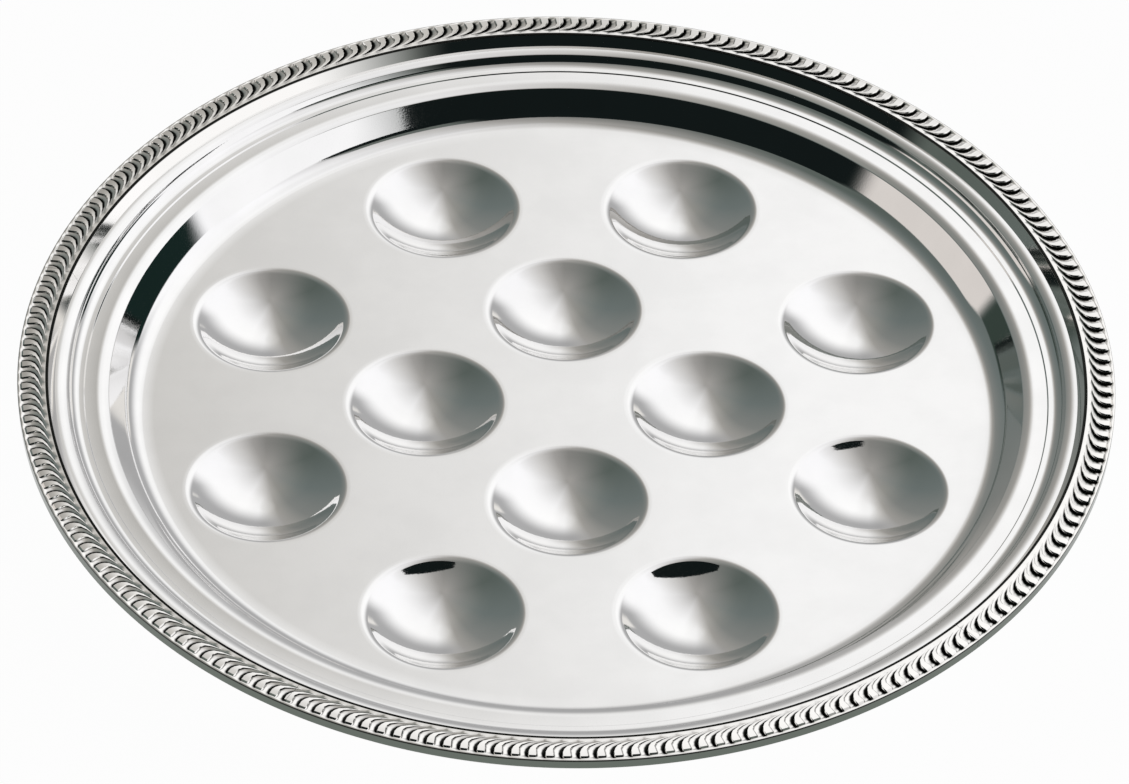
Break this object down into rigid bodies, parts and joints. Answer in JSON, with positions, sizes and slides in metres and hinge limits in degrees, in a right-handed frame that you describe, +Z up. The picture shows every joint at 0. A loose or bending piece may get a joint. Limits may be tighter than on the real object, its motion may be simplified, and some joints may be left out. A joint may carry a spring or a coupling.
{
  "type": "escargot plate",
  "caption": "Round mirror-polished metal plate with shallow round wells for snails, a stepped rim and a gadroon border; it stands on the undersides of its wells.",
  "frame": {"origin": "on the plate's axis, at the height of the flats under the wells that it stands on", "axes": "+Z up out of the dish; +X and +Y each through the middle of an inner well"},
  "size_m": [0.3, 0.3, 0.0235],
  "materials": {
    "polished_plate": "mirror-polished silver plate on metal sheet, with fine polishing marks",
    "border_metal": "bright struck silver border, slightly dulled in its hollows"
  },
  "bodies": {
    "root": {"plate_body": "polished_plate", "border_strip_1": "border_metal", "border_strip_2": "border_metal", "border_strip_3": "border_metal", "border_strip_4": "border_metal", "border_closing_strip": "border_metal"}
  },
  "joints": []
}
